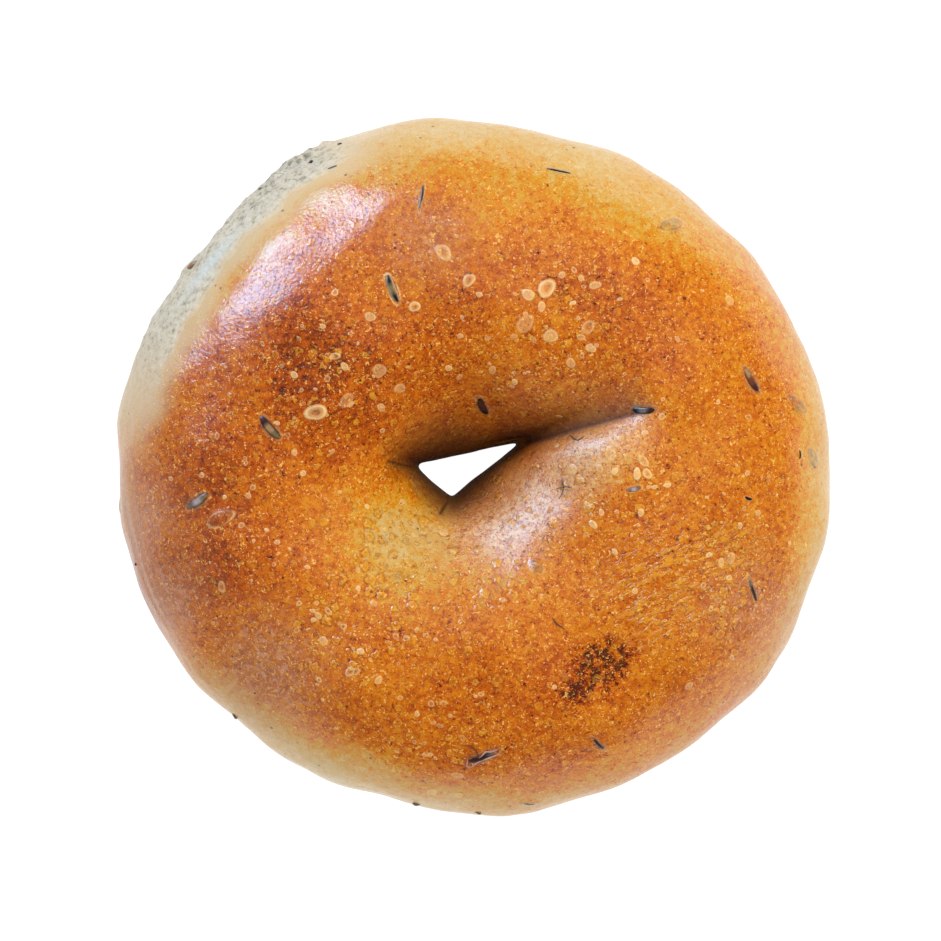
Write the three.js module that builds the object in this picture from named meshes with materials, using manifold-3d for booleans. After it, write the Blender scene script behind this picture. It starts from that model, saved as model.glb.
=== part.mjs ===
// A boiled and baked bagel with caraway seeds in its crust, lying flat on its base.
// It is one closed solid, with the seeds fused on. Its dough was rolled round and lapped over itself,
// so the small hole is three-cornered, and a crease runs out from each corner.
// Millimetres, +Z up. The origin is on the base, under the middle of the outline.
import * as THREE from "three";
import { mergeVertices } from "three/addons/utils/BufferGeometryUtils.js";
import Module from "manifold-3d";

// Driving dimensions
const OUTER_RADIUS = 56.05; // mean radius of the outline
const CROWN_HEIGHT = 39; // mean height of the crown, the ring of highest points
const HOLE_CENTRE = new THREE.Vector2(-3.35, -1.25); // middle of the largest circle in the hole
const HOLE_REACH = 2.9; // from there to each of the hole's three sides

// The outline's unevenness: waves round it, each with its size and the direction of its first peak
const OUTLINE_WAVES = [
  { waves: 2, size: 1.0, peak: -17.6 },
  { waves: 3, size: 0.27, peak: -23.7 },
  { waves: 4, size: 0.21, peak: 11.2 },
  { waves: 5, size: 0.22, peak: -31 },
  { waves: 6, size: 0.15, peak: -16.2 },
  { waves: 7, size: 0.2, peak: 13.7 },
  { waves: 8, size: 0.12, peak: -21.6 },
  { waves: 9, size: 0.11, peak: 1.2 },
  { waves: 10, size: 0.1, peak: -4.1 },
];
const CROWN_WAVES = [
  { waves: 1, size: 0.9, peak: 150 },
  { waves: 2, size: 0.6, peak: 100 },
  { waves: 3, size: 0.4, peak: 30 },
];

// The hole: a three-sided opening with rounded corners
const HOLE_SIDES = [102.7, 225.6, 309.9]; // directions that its sides face away from its centre
const HOLE_SHARPNESS = 7; // higher is sharper at the corners
const CROWN_INSET = 4; // radius of the round hole that the crown is set out from
const CROWN_SHARE = 0.5; // how far from that hole to the outline the crown lies

// The dough's section, from the waist of the hole over the crown to the outline, and back underneath
const OUTER_BELLY = 0.41; // height of the widest points, as a share of the crown's height
const HOLE_WAIST = 0.34; // the same for the narrowest points of the hole
const TOP_FULLNESS = 2.12; // 2 is an ellipse, more is squarer
const BASE_FULLNESS = 2.8;
const BASE_SINK = 1.3; // how far the section would reach under the floor; it is flat there instead

// Swellings and dents of the top
const SWELLINGS = [
  { at: [20, 0], radius: 7.5, rise: 1.7 }, // the lapped end, below the long crease
  { at: [9, -8], radius: 6.5, rise: 1.2 }, // the same fold, round the hole
  { at: [0, 8.5], radius: 5, rise: -2.6 }, // the dough dips towards the hole from above
  { at: [17, 12], radius: 7, rise: -1.0 }, // and beside the long crease
  { at: [20, -31], radius: 6, rise: -0.9 }, // the scorched dent
  { at: [-32, -30], radius: 9, rise: -1.0 }, // the flatter shoulder
  { at: [-27, 22], radius: 12, rise: 0.9 }, // the full shoulder
  { at: [-37.5, 20], radius: 6, rise: 1.0 },
  { at: [-46, 2], radius: 6, rise: -0.7 },
];

// Creases from the hole's corners: route, depth where each starts, and width to its left and right
const CREASES = [
  { route: [[5.4, 3.2], [17, 6.4], [29.5, 9.6]], depth: 7.5, widths: [4.2, 1.7] },
  { route: [[-8.0, -0.1], [-11, 0.3], [-14.4, 1.2]], depth: 2.6, widths: [1.9, 1.9] },
  { route: [[-3.8, -4.8], [-4.6, -6.1], [-5.8, -8]], depth: 2.2, widths: [1.5, 1.5] },
];
const CREASE_BLUNTNESS = 1.25; // 1 is a sharp valley, 2 a round one

// The torn side, where the loaf was pulled from its neighbour
const TEAR = { from: 109, to: 164, low: 6, high: 28, hollow: 0.15, lumps: 0.5, fade: 9 };

// Slight unevenness all over: size, and the wave vector of each ripple
const RIPPLES = [
  { size: 0.22, along: [0.21, 0.13, 0.1], shift: 0.4 },
  { size: 0.2, along: [-0.12, 0.27, 0.16], shift: 2.1 },
  { size: 0.13, along: [0.38, -0.29, 0.2], shift: 4.4 },
  { size: 0.1, along: [0.19, 0.46, -0.3], shift: 1.2 },
];

// Caraway seeds that show on top: place, direction of the seed's length and length
const TOP_SEEDS = [
  { at: [-12.8, 28], heading: -69, length: 4.7 },
  { at: [-32, 6.2], heading: -48, length: 4.7 },
  { at: [-43.5, -5.3], heading: 33, length: 4.5 },
  { at: [-39.9, -8.1], heading: 25, length: 4.2 },
  { at: [-8.4, 42.4], heading: 70, length: 4.5 },
  { at: [13.5, 46.7], heading: -12, length: 4.7 },
  { at: [1.5, 9.7], heading: -60, length: 4.2 },
  { at: [26.8, 9.1], heading: 5, length: 4.4 },
  { at: [43.7, 13.7], heading: -58, length: 4.5 },
  { at: [51.1, 10.1], heading: -38, length: 4.3 },
  { at: [31.2, 38.3], heading: 20, length: 4.6 },
  { at: [14.2, -3.3], heading: -70, length: 4.0 },
  { at: [44.1, -19.3], heading: -70, length: 4.6 },
  { at: [19.7, -43.6], heading: -45, length: 4.3 },
  { at: [1.5, -45.5], heading: 22, length: 5.4 },
  { at: [25.2, -3.5], heading: 15, length: 3.8 },
  { at: [8.9, -53.2], heading: -5, length: 4.2 },
];
const SEED_WIDTH = 1.35;
const SEED_HEIGHT = 1.15;
const SEED_PROUD = 0.5; // how far a seed's back stands out of the crust
const SEED_BEND = 0.4; // how far its ends curve to one side
const SIDE_SEEDS = 12; // spread round the sides and the underside by a seeded draw
const DRAW_SEED = 7;

// Steps of the mesh
const RING_STEPS = 96;
const SECTION_STEPS = 42;
const SEED_SIDES = 5;
const SEED_RINGS = 4;

const radians = THREE.MathUtils.degToRad;
const smooth = THREE.MathUtils.smoothstep;
const power = (value, exponent) => Math.abs(value) ** exponent;

// The sum of some waves in one direction
function waviness(list, angle) {
  let sum = 0;
  for (const { waves, size, peak } of list) {
    sum += size * Math.cos(waves * (angle - radians(peak)));
  }
  return sum;
}

// The hole's radius at its waist, in one direction from its centre
function holeRadius(angle) {
  let sum = 0;
  for (const side of HOLE_SIDES) {
    sum += Math.max(0, Math.cos(angle - radians(side))) ** HOLE_SHARPNESS;
  }
  return HOLE_REACH * sum ** (-1 / HOLE_SHARPNESS);
}

// The section in one direction: its outermost, innermost and highest points in plan, and its crown's height
function sectionAt(angle) {
  const direction = new THREE.Vector2(Math.cos(angle), Math.sin(angle));
  const outer = direction.clone().multiplyScalar(OUTER_RADIUS + waviness(OUTLINE_WAVES, angle));
  const inner = HOLE_CENTRE.clone().addScaledVector(direction, holeRadius(angle));
  const round = HOLE_CENTRE.clone().addScaledVector(direction, CROWN_INSET);
  const crown = round.lerp(outer, CROWN_SHARE);
  return { outer, inner, crown, height: CROWN_HEIGHT + waviness(CROWN_WAVES, angle) };
}

// A point of the plain section: round is the direction about the hole, and over goes from the outline over the crown
function plainPoint(round, over) {
  const { outer, inner, crown, height } = sectionAt(round);
  const across = Math.cos(over);
  const up = Math.sin(over);
  const exponent = 2 / (up > 0 ? TOP_FULLNESS : BASE_FULLNESS);
  const plan = crown.clone().lerp(across > 0 ? outer : inner, power(across, exponent));
  const belly = height * THREE.MathUtils.lerp(HOLE_WAIST, OUTER_BELLY, (across + 1) / 2);
  const reach = up > 0 ? height - belly : -(belly + BASE_SINK);
  return new THREE.Vector3(plan.x, plan.y, belly + reach * power(up, exponent));
}

// How far along a crease a point in plan is (0 to 1), and how far to its left (above 0) or right
function besideCrease(route, x, y) {
  let nearest = { distance: Infinity };
  for (let i = 1; i < route.length; i++) {
    const [ax, ay] = route[i - 1];
    const dx = route[i][0] - ax;
    const dy = route[i][1] - ay;
    const share = THREE.MathUtils.clamp(((x - ax) * dx + (y - ay) * dy) / (dx * dx + dy * dy), 0, 1);
    const distance = Math.hypot(x - ax - share * dx, y - ay - share * dy);
    if (distance < nearest.distance) {
      const side = Math.sign(dx * (y - ay) - dy * (x - ax));
      nearest = { distance, side, along: (i - 1 + share) / (route.length - 1) };
    }
  }
  return nearest;
}

// How much the top is lowered (below 0) or raised at a point in plan
function topRise(x, y) {
  let rise = 0;
  for (const { at, radius, rise: most } of SWELLINGS) {
    rise += most * Math.exp(-((x - at[0]) ** 2 + (y - at[1]) ** 2) / radius ** 2);
  }
  for (const { route, depth, widths } of CREASES) {
    const { distance, side, along } = besideCrease(route, x, y);
    const width = side > 0 ? widths[0] : widths[1];
    rise -= depth * (1 - along) ** 0.9 * Math.exp(-power(distance / width, CREASE_BLUNTNESS));
  }
  return rise;
}

// How far the torn side stands out, at one direction and height
function tearRelief(angle, height) {
  const degrees = THREE.MathUtils.radToDeg(angle);
  const round = smooth(degrees, TEAR.from, TEAR.from + TEAR.fade) * (1 - smooth(degrees, TEAR.to - TEAR.fade, TEAR.to));
  const up = smooth(height, TEAR.low, TEAR.low + 4) * (1 - smooth(height, TEAR.high - 2, TEAR.high));
  const lumps = Math.sin(degrees * 0.62) * Math.sin(height * 0.55 + degrees * 0.11);
  return round * up * (TEAR.lumps * lumps - TEAR.hollow);
}

// How far the crust stands out from the plain section, apart from the rise of the top
function sideRelief(point, round, over) {
  let relief = 0;
  for (const { size, along, shift } of RIPPLES) {
    relief += size * Math.sin(along[0] * point.x + along[1] * point.y + along[2] * point.z + shift);
  }
  const outward = Math.max(0, Math.cos(over));
  return relief + (outward > 0 ? tearRelief(round, point.z) : 0);
}

// The way out of the plain section at a point
function plainNormal(round, over) {
  const step = 1e-3;
  const alongRing = plainPoint(round + step, over).sub(plainPoint(round - step, over));
  const alongSection = plainPoint(round, over + step).sub(plainPoint(round, over - step));
  return alongRing.cross(alongSection).normalize();
}

// A point of the crust
function crustPoint(round, over) {
  const point = plainPoint(round, over);
  point.addScaledVector(plainNormal(round, over), sideRelief(point, round, over));
  const belly = CROWN_HEIGHT * OUTER_BELLY;
  point.z += topRise(point.x, point.y) * smooth(point.z, belly, belly + 9);
  point.z = Math.max(point.z, 0);
  return point;
}

// The way out of the crust at a point
function crustNormal(round, over) {
  const step = 0.02;
  const alongRing = crustPoint(round + step, over).sub(crustPoint(round - step, over));
  const alongSection = crustPoint(round, over + step).sub(crustPoint(round, over - step));
  return alongRing.cross(alongSection).normalize();
}

// The place on the top, as round and over, that lies above a point in plan
function placeOnTop(x, y) {
  const step = 1e-3;
  let round = Math.atan2(y - HOLE_CENTRE.y, x - HOLE_CENTRE.x);
  let over = Math.PI / 2;
  for (let i = 0; i < 12; i++) {
    const here = crustPoint(round, over);
    const byRound = crustPoint(round + step, over).sub(here).divideScalar(step);
    const byOver = crustPoint(round, over + step).sub(here).divideScalar(step);
    const determinant = byRound.x * byOver.y - byOver.x * byRound.y;
    const dx = x - here.x;
    const dy = y - here.y;
    round += (dx * byOver.y - dy * byOver.x) / determinant;
    const turn = (dy * byRound.x - dx * byRound.y) / determinant;
    over = THREE.MathUtils.clamp(over + THREE.MathUtils.clamp(turn, -0.4, 0.4), 0.05, Math.PI - 0.05);
  }
  return { round, over };
}

// The dough as a torus whose points are moved to the crust
function doughGeometry() {
  const geometry = new THREE.TorusGeometry(2, 1, SECTION_STEPS, RING_STEPS);
  const { position, uv } = geometry.attributes;
  for (let i = 0; i < position.count; i++) {
    const round = (uv.getX(i) % 1) * 2 * Math.PI;
    const over = (uv.getY(i) % 1) * 2 * Math.PI;
    const point = crustPoint(round > Math.PI ? round - 2 * Math.PI : round, over);
    position.setXYZ(i, point.x, point.y, point.z);
  }
  return geometry;
}

// One caraway seed, a bent spindle, laid into the crust
function seedGeometry({ round, over }, heading, length) {
  const geometry = new THREE.SphereGeometry(0.5, SEED_SIDES, SEED_RINGS);
  geometry.rotateZ(Math.PI / 2);
  geometry.scale(length, SEED_WIDTH, SEED_HEIGHT);
  const { position } = geometry.attributes;
  for (let i = 0; i < position.count; i++) {
    const share = position.getX(i) / (length / 2);
    position.setY(i, position.getY(i) + SEED_BEND * (share * share - 0.5));
  }
  const point = crustPoint(round, over);
  const normal = crustNormal(round, over);
  const ahead = new THREE.Vector3(Math.cos(heading), Math.sin(heading), 0);
  ahead.addScaledVector(normal, -ahead.dot(normal)).normalize();
  const beside = normal.clone().cross(ahead);
  point.addScaledVector(normal, SEED_PROUD - SEED_HEIGHT / 2);
  geometry.applyMatrix4(new THREE.Matrix4().makeBasis(ahead, beside, normal).setPosition(point));
  return geometry;
}

// A draw of numbers from 0 to 1 that is the same each time
function drawFrom(seed) {
  let state = seed;
  return () => {
    state = (state * 16807) % 2147483647;
    return state / 2147483647;
  };
}

// All the seeds: those on top where they lie, and the others evenly round the sides and underneath
function seedGeometries() {
  const seeds = TOP_SEEDS.map(({ at, heading, length }) =>
    seedGeometry(placeOnTop(at[0], at[1]), radians(heading), length));
  const draw = drawFrom(DRAW_SEED);
  for (let i = 0; i < SIDE_SEEDS; i++) {
    const round = ((i + 0.2 + 0.6 * draw()) / SIDE_SEEDS) * 2 * Math.PI - Math.PI;
    const over = THREE.MathUtils.lerp(-0.5, -0.1, draw());
    seeds.push(seedGeometry({ round, over }, draw() * Math.PI, 4 + draw()));
  }
  return seeds;
}

const wasm = await Module();
wasm.setup();

function solidFrom(geometry) {
  geometry.deleteAttribute("normal");
  geometry.deleteAttribute("uv");
  const merged = mergeVertices(geometry);
  return new wasm.Manifold(new wasm.Mesh({
    numProp: 3,
    vertProperties: new Float32Array(merged.attributes.position.array),
    triVerts: new Uint32Array(merged.index.array),
  }));
}

function geometryFrom(solid) {
  const mesh = solid.getMesh();
  const geometry = new THREE.BufferGeometry();
  geometry.setAttribute("position", new THREE.BufferAttribute(mesh.vertProperties, 3));
  geometry.setIndex(new THREE.BufferAttribute(mesh.triVerts, 1));
  geometry.computeVertexNormals();
  return geometry;
}

function makeBagel() {
  let solid = solidFrom(doughGeometry());
  for (const seed of seedGeometries()) {
    solid = solid.add(solidFrom(seed));
  }
  const crust = new THREE.MeshStandardMaterial({ color: 0xc9762a, roughness: 0.5, metalness: 0 });
  const bagel = new THREE.Mesh(geometryFrom(solid), crust);
  bagel.name = "bagel";
  return bagel;
}

const group = new THREE.Group();
group.add(makeBagel());

export default group;
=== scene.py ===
"""The looks of a baked bagel with caraway seeds: its browned crust, blisters, seeds and torn side."""
import math

import bpy
import numpy as np
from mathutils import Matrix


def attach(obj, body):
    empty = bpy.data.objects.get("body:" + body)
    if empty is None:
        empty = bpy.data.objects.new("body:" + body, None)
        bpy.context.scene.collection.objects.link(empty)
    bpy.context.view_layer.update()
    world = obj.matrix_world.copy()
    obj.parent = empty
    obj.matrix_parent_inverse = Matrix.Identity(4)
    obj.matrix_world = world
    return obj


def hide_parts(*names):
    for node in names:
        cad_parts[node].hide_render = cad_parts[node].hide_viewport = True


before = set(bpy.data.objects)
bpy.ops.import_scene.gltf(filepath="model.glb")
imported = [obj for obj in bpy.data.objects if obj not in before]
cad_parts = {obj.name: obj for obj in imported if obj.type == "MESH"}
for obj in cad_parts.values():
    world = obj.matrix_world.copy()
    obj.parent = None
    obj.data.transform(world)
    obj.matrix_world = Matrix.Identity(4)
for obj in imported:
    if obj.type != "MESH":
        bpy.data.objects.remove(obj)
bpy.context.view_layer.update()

MM = 0.001  # the shape is worked out in millimetres

# Driving dimensions, as in the solid
OUTER_RADIUS = 56.05
CROWN_HEIGHT = 39
HOLE_CENTRE = np.array([-3.35, -1.25])
HOLE_REACH = 2.9
HOLE_SIDES = (102.7, 225.6, 309.9)
HOLE_SHARPNESS = 7
CROWN_INSET = 4
CROWN_SHARE = 0.5
OUTER_BELLY = 0.41
HOLE_WAIST = 0.34
TOP_FULLNESS = 2.12
BASE_FULLNESS = 2.8
BASE_SINK = 1.3

# Waves round the outline and the crown: how many, their size and the direction of the first peak
OUTLINE_WAVES = (
    (2, 1.0, -17.6), (3, 0.27, -23.7), (4, 0.21, 11.2), (5, 0.22, -31), (6, 0.15, -16.2), (7, 0.2, 13.7),
    (8, 0.12, -21.6), (9, 0.11, 1.2), (10, 0.1, -4.1),
)
CROWN_WAVES = ((1, 0.9, 150), (2, 0.6, 100), (3, 0.4, 30))

# Swellings and dents of the top: x, y, radius, rise
SWELLINGS = (
    (20, 0, 7.5, 1.7), (9, -8, 6.5, 1.2), (0, 8.5, 5, -2.6), (17, 12, 7, -1.0),
    (20, -31, 6, -0.9), (-32, -30, 9, -1.0), (-27, 22, 12, 0.9),
    (-37.5, 20, 6, 1.0), (-46, 2, 6, -0.7),
)

# Creases from the hole's corners: route, depth, width to the left, width to the right
CREASES = (
    (((5.4, 3.2), (17, 6.4), (29.5, 9.6)), 7.5, 4.2, 1.7),
    (((-8.0, -0.1), (-11, 0.3), (-14.4, 1.2)), 2.6, 1.9, 1.9),
    (((-3.8, -4.8), (-4.6, -6.1), (-5.8, -8)), 2.2, 1.5, 1.5),
)
CREASE_BLUNTNESS, CREASE_FADE = 1.25, 0.9
TOP_RISE_REACH = 9

# The torn side: its directions and heights, how hollow and lumpy it is; its fades at the ends, foot and top
TEAR_FROM, TEAR_TO, TEAR_LOW, TEAR_HIGH = 109, 164, 6, 28
TEAR_HOLLOW, TEAR_LUMPS = 0.15, 0.5
TEAR_FADE, TEAR_LOW_FADE, TEAR_HIGH_FADE = 9, 4, 2
# Its lumps: how fast they come by direction and height, and their lean
LUMP_WAVES = (0.62, 0.55, 0.11)

# Ripples: size, wave vector, shift
RIPPLES = (
    (0.22, (0.21, 0.13, 0.1), 0.4), (0.2, (-0.12, 0.27, 0.16), 2.1),
    (0.13, (0.38, -0.29, 0.2), 4.4), (0.1, (0.19, 0.46, -0.3), 1.2),
)

# Finer relief than the solid has: how far each kind stands out, how wide its bumps are and its seed
SKIN_SWELLS = (0.05, 7, 11)
SKIN_DIMPLES = (0.025, 2.4, 12)
CRUMB_BUMPS = (0.3, 1.6, 13)
SCORCH_BUMPS = (0.12, 1.6, 14)
# The share of the solid's lumps here, where the scorched bumps are, and from what height relief is in full
LUMPS_KEPT, BUMPY_SCORCH, FOOT_HEIGHT = 0.5, (20, -31.5, 6.0, 1.0), 2
# The roughest crumb of the torn side, and the painted highlight along its pale ridge: direction and spread;
# and how rough the rest is
ROUGH_CRUMB, CRUMB_RIDGE_HIGHLIGHT, PLAIN_CRUMB = (121, 11), (142, 7), 0.25
NOISE_WAVES, NOISE_RANGE = 28, (0.6, 1.4)

# The crust's mesh: steps round the ring, over the top and underneath, and how far down the top's steps reach
RING_STEPS, TOP_STEPS, BASE_STEPS, TOP_OVERLAP = 448, 168, 50, 0.3
# Small turns that slopes are measured over
SMALL_TURN, WIDE_TURN = 1e-3, 0.02
# Finding the crust above a place: rounds, the largest turn in one, the least section angle; the least upright
PLACE_ROUNDS, LARGEST_TURN, LEAST_OVER, LEAST_UPRIGHT = 14, 0.3, 0.05, 0.3


def smooth(value, low, high):
    """0 at low, 1 at high and an even curve between them."""
    share = np.clip((value - low) / (high - low), 0, 1)
    return share * share * (3 - 2 * share)


def bell(value, middle, width):
    """1 in the middle, falling off evenly to both sides."""
    return np.exp(-((value - middle) / width) ** 2)


def patches(table, x, y):
    """The sum of round patches, each listed as x, y, radius and its most."""
    return sum(most * np.exp(-((x - cx) ** 2 + (y - cy) ** 2) / radius ** 2)
               for cx, cy, radius, most in table)


def degrees_of(ring):
    """A direction in degrees, from -180 to 180."""
    return np.degrees((ring + math.pi) % (2 * math.pi) - math.pi)


def turns(count):
    """Even steps round a circle."""
    return np.arange(count) / count * 2 * math.pi


def all_pairs(first, second):
    """Every pair of two rows of numbers, as two columns."""
    return [grid.ravel() for grid in np.meshgrid(first, second, indexing="ij")]


def tube_quads(rows, sides):
    """The quads of a closed tube whose points lie in rows + 1 loops of a number of sides."""
    i, j = all_pairs(np.arange(rows), np.arange(sides))
    beside = (j + 1) % sides
    return np.stack([i * sides + j, i * sides + beside, (i + 1) * sides + beside, (i + 1) * sides + j], -1)


def waviness(waves, angle):
    """How far the listed waves stand out at an angle."""
    return sum(size * np.cos(count * (angle - math.radians(peak))) for count, size, peak in waves)


def hole_radius(angle):
    """The reach of the hole's three flat sides, which meet in rounded corners."""
    total = sum(np.maximum(0, np.cos(angle - math.radians(side))) ** HOLE_SHARPNESS for side in HOLE_SIDES)
    return HOLE_REACH * total ** (-1 / HOLE_SHARPNESS)


def plain_points(ring, over):
    """The plain section at directions ring about the hole; over goes from the outline over the crown."""
    direction = np.stack([np.cos(ring), np.sin(ring)], -1)
    outer = direction * (OUTER_RADIUS + waviness(OUTLINE_WAVES, ring))[..., None]
    inner = HOLE_CENTRE + direction * hole_radius(ring)[..., None]
    crown = HOLE_CENTRE + direction * CROWN_INSET
    crown = crown + (outer - crown) * CROWN_SHARE
    height = CROWN_HEIGHT + waviness(CROWN_WAVES, ring)
    across, up = np.cos(over), np.sin(over)
    exponent = 2 / np.where(up > 0, TOP_FULLNESS, BASE_FULLNESS)
    end = np.where((across > 0)[..., None], outer, inner)
    plan = crown + (end - crown) * (np.abs(across) ** exponent)[..., None]
    belly = height * (HOLE_WAIST + (OUTER_BELLY - HOLE_WAIST) * (across + 1) / 2)
    reach = np.where(up > 0, height - belly, -(belly + BASE_SINK))
    return np.concatenate([plan, (belly + reach * np.abs(up) ** exponent)[..., None]], -1)


def normals_of(surface, ring, over, step):
    """The way out of a surface, from points a step to each side."""
    along_ring = surface(ring + step, over) - surface(ring - step, over)
    along_section = surface(ring, over + step) - surface(ring, over - step)
    normal = np.cross(along_ring, along_section)
    return normal / np.maximum(np.linalg.norm(normal, axis=-1, keepdims=True), 1e-12)


def beside_route(route, x, y):
    """How far along a route each point is (0 to 1), its distance and its side (1 is left)."""
    best = np.full(np.shape(x), np.inf)
    along, side = np.zeros_like(best), np.ones_like(best)
    for i, ((ax, ay), (bx, by)) in enumerate(zip(route, route[1:])):
        dx, dy = bx - ax, by - ay
        share = np.clip(((x - ax) * dx + (y - ay) * dy) / (dx * dx + dy * dy), 0, 1)
        distance = np.hypot(x - ax - share * dx, y - ay - share * dy)
        nearer = distance < best
        best = np.where(nearer, distance, best)
        along = np.where(nearer, (i + share) / (len(route) - 1), along)
        side = np.where(nearer, np.sign(dx * (y - ay) - dy * (x - ax)), side)
    return along, best, side


def top_rise(x, y):
    """How far the swellings lift the top, less the creases."""
    rise = patches(SWELLINGS, x, y)
    for route, depth, left, right in CREASES:
        along, distance, side = beside_route(route, x, y)
        width = np.where(side > 0, left, right)
        rise = rise - depth * (1 - along) ** CREASE_FADE * np.exp(-(distance / width) ** CREASE_BLUNTNESS)
    return rise


def smooth_noise(points, size, seed):
    """Even noise with bumps about size across and a spread of 1, made of waves in drawn directions."""
    draw = np.random.default_rng(seed)
    total = 0
    for _ in range(NOISE_WAVES):
        way = draw.normal(size=3)
        way *= math.pi / size * draw.uniform(*NOISE_RANGE) / np.linalg.norm(way)
        total = total + np.sin(points @ way + draw.uniform(0, 2 * math.pi))
    return total / math.sqrt(NOISE_WAVES / 2)


def bumps(points, spread, size, seed):
    return spread * smooth_noise(points, size, seed)


def tear_share(ring, height):
    """How much of the torn side is at a direction and height, 0 to 1."""
    degrees = degrees_of(ring)
    sides = smooth(degrees, TEAR_FROM, TEAR_FROM + TEAR_FADE)
    sides = sides * (1 - smooth(degrees, TEAR_TO - TEAR_FADE, TEAR_TO))
    up = smooth(height, TEAR_LOW, TEAR_LOW + TEAR_LOW_FADE)
    return sides * up * (1 - smooth(height, TEAR_HIGH - TEAR_HIGH_FADE, TEAR_HIGH))


def relief(points, ring, over):
    """How far the crust stands out from the plain section."""
    total = sum(size * np.sin(points @ np.array(along) + shift) for size, along, shift in RIPPLES)
    degrees = degrees_of(ring)
    height = points[..., 2]
    by_turn, by_height, lean = LUMP_WAVES
    lumps = LUMPS_KEPT * np.sin(degrees * by_turn) * np.sin(height * by_height + degrees * lean)
    torn = tear_share(ring, height) * (np.cos(over) > 0)
    total = total + torn * (TEAR_LUMPS * lumps - TEAR_HOLLOW)
    total = total + bumps(points, *SKIN_SWELLS) + bumps(points, *SKIN_DIMPLES)
    rough = PLAIN_CRUMB + (1 - PLAIN_CRUMB) * bell(degrees, *ROUGH_CRUMB)
    total = total + torn * rough * bumps(points, *CRUMB_BUMPS)
    scorched = patches([BUMPY_SCORCH], points[..., 0], points[..., 1]) * (np.sin(over) > 0)
    total = total + scorched * bumps(points, *SCORCH_BUMPS)
    return total * smooth(height, 0, FOOT_HEIGHT)


def crust_points(ring, over):
    """The crust's surface, in millimetres."""
    plain = plain_points(ring, over)
    normal = normals_of(plain_points, ring, over, SMALL_TURN)
    points = plain + normal * relief(plain, ring, over)[..., None]
    belly = CROWN_HEIGHT * OUTER_BELLY
    share = smooth(points[..., 2], belly, belly + TOP_RISE_REACH)
    points[..., 2] += top_rise(points[..., 0], points[..., 1]) * share
    points[..., 2] = np.maximum(points[..., 2], 0)
    return points


def new_object(name, data):
    made = bpy.data.objects.new(name, data)
    bpy.context.scene.collection.objects.link(made)
    return made


def mesh_object(name, points, faces, material, attributes, uv=None):
    """A piece from points in millimetres and quads or triangles, with numbers or colours of its points."""
    mesh = bpy.data.meshes.new(name)
    count, corners = points.size // 3, faces.shape[1]
    mesh.vertices.add(count)
    mesh.vertices.foreach_set("co", (points * MM).astype(np.float32).ravel())
    mesh.loops.add(faces.size)
    mesh.loops.foreach_set("vertex_index", faces.astype(np.int32).ravel())
    mesh.polygons.add(len(faces))
    mesh.polygons.foreach_set("loop_start", np.arange(0, faces.size, corners, dtype=np.int32))
    mesh.update(calc_edges=True)
    mesh.polygons.foreach_set("use_smooth", np.ones(len(faces), bool))
    for label, values in attributes.items():
        kind, key = ("FLOAT", "value") if values.size == count else ("FLOAT_COLOR", "color")
        mesh.attributes.new(label, kind, "POINT").data.foreach_set(key, values.astype(np.float32).ravel())
    if uv is not None:
        mesh.uv_layers.new(name="OFBake").data.foreach_set("uv", uv.astype(np.float32).ravel())
    mesh.validate()
    mesh.materials.append(material)
    return new_object(name, mesh)


def make_crust(material):
    """The whole crust as one closed grid, finer on top than underneath."""
    top = np.linspace(-TOP_OVERLAP, math.pi + TOP_OVERLAP, TOP_STEPS, endpoint=False)
    base = np.linspace(math.pi + TOP_OVERLAP, 2 * math.pi - TOP_OVERLAP, BASE_STEPS, endpoint=False)
    ring, over = np.meshgrid(turns(RING_STEPS), np.concatenate([top, base]), indexing="ij")
    points = crust_points(ring, over)
    m, n = ring.shape
    index = np.arange(m * n).reshape(m, n)
    ahead = np.roll(index, -1, 0)
    quads = np.stack([index, ahead, np.roll(ahead, -1, 1), np.roll(index, -1, 1)], -1).reshape(-1, 4)
    i, j = np.meshgrid(np.arange(m), np.arange(n), indexing="ij")
    corners = ((0, 0), (1, 0), (1, 1), (0, 1))
    uv = np.stack([np.stack([(i + di) / m, (j + dj) / n], -1) for di, dj in corners], 2)
    return mesh_object("crust", points, quads, material, surface_attributes(points, ring, over), uv)


def outline_gap(points):
    """How far inside the outline each point is in plan."""
    angle = np.arctan2(points[..., 1], points[..., 0])
    radius = np.hypot(points[..., 0], points[..., 1])
    return OUTER_RADIUS + waviness(OUTLINE_WAVES, angle) - radius


# The crust's colour goes from pale dough (0) over gold and orange-brown to scorched (1).
CRUST_BROWNING = 0.62
# The pale rim: direction, how wide it is in plan and how browned its edge is
RIM = (
    (0, 9, 0.28), (25, 8, 0.43), (45, 14, 0.38), (68, 22, 0.2), (90, 21, 0.2), (106, 16, 0.22),
    (122, 15, 0.15), (145, 13, 0.15), (165, 9, 0.27), (180, 6, 0.56), (200, 5, 0.68), (225, 8, 0.25),
    (247, 10, 0.09), (262, 9, 0.24), (285, 7, 0.38), (318, 7, 0.52), (340, 9, 0.29), (360, 9, 0.28),
)
# The browner foot and underside: from what height down, and how browned
BASE_BROWN_HEIGHTS = (1, 11)
BASE_BROWNING = 0.6
# Darker and lighter patches: x, y, radius, change
BROWNING_PATCHES = (
    (-24, 14, 12, 0.2), (-41, -15, 9, 0.16), (-40, -1, 9, 0.14), (-2.4, 22, 11, 0.07), (23, 22, 9, 0.08),
    (0.8, -37, 7, 0.04), (-27, 21, 7, 0.08), (10.4, -35.6, 8, 0.05), (-12, -10.5, 8, -0.32),
    (-7, -16, 8, -0.12), (-20, -17, 8, -0.05), (8, -16, 7, -0.1), (20, 1, 6, -0.14), (4, 20, 5, -0.05),
    (35, 3, 9, -0.04), (14, 37, 8, 0.06), (45, 22, 11, -0.03),
)
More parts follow.
